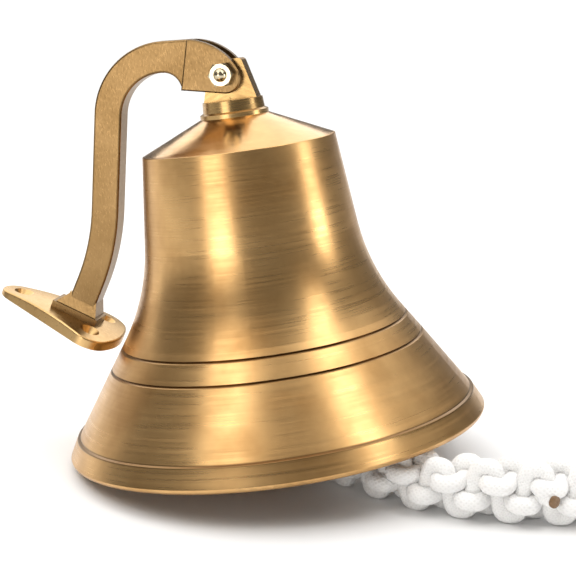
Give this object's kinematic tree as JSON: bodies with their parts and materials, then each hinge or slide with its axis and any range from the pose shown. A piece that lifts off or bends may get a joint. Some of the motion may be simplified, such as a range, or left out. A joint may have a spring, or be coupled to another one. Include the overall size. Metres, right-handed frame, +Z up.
{
  "type": "ship bell",
  "caption": "Flared brass ship's bell leaning on its braided white lanyard, with a swan-neck wall bracket folded down beside it.",
  "frame": {"origin": "centre of the bottom of the box round the bell and its bracket, on the floor that they stand on", "axes": "+Z up; +X across the bell away from the folded bracket; +Y along the bracket's pivot bolt, away from its dome nut. The bell leans 8.2 degrees, because its rim rests on the lanyard"},
  "size_m": [0.4309, 0.2539, 0.2539],
  "materials": {
    "bell_brass": "satin, finely brushed round the bell",
    "polished_brass": "polished",
    "plain_brass": "as machined",
    "chromed_steel": "bright plated",
    "cotton": "braided white cotton cord"
  },
  "bodies": {
    "bell": {"bell_shell": "bell_brass", "crown_lug": "polished_brass", "crown_eye_bolt": "plain_brass", "crown_washer": "plain_brass", "crown_nut": "plain_brass", "pivot_bush": "plain_brass"},
    "bracket": {"bracket_arm": "polished_brass", "mounting_plate": "polished_brass", "foot_screws": "plain_brass", "pivot_bolt": "chromed_steel", "pivot_washer": "chromed_steel", "pivot_nut": "chromed_steel"},
    "clapper": {"clapper_fork": "plain_brass", "clapper_pin": "plain_brass", "clapper_pin_clip": "chromed_steel", "clapper_rod": "plain_brass", "clapper_ball": "plain_brass", "clapper_lock_nut": "plain_brass", "clapper_tail_eye": "plain_brass"},
    "lanyard": {"lanyard_loop": "cotton", "lanyard_whipping": "cotton", "lanyard_braid": "cotton", "lanyard_end_knot": "cotton"}
  },
  "joints": [
    {"name": "bracket_hinge", "type": "hinge", "parent": "bell", "child": "bracket", "pos_m": [-0.00608, 0.00585, 0.2338], "axis": [0.0019, 0.9996, -0.0272], "range_deg": [0, 158]},
    {"name": "clapper_hinge", "type": "hinge", "parent": "bell", "child": "clapper", "pos_m": [0.00268, 0.00434, 0.17901], "axis": [0.5835, 0.8098, 0.0603], "range_deg": [0, 23.5]},
    {"name": "lanyard_hinge", "type": "hinge", "parent": "clapper", "child": "lanyard", "pos_m": [0.00841, 0.01229, 0.01671], "axis": [0.5835, 0.8098, 0.0603], "range_deg": [0, 65]}
  ]
}
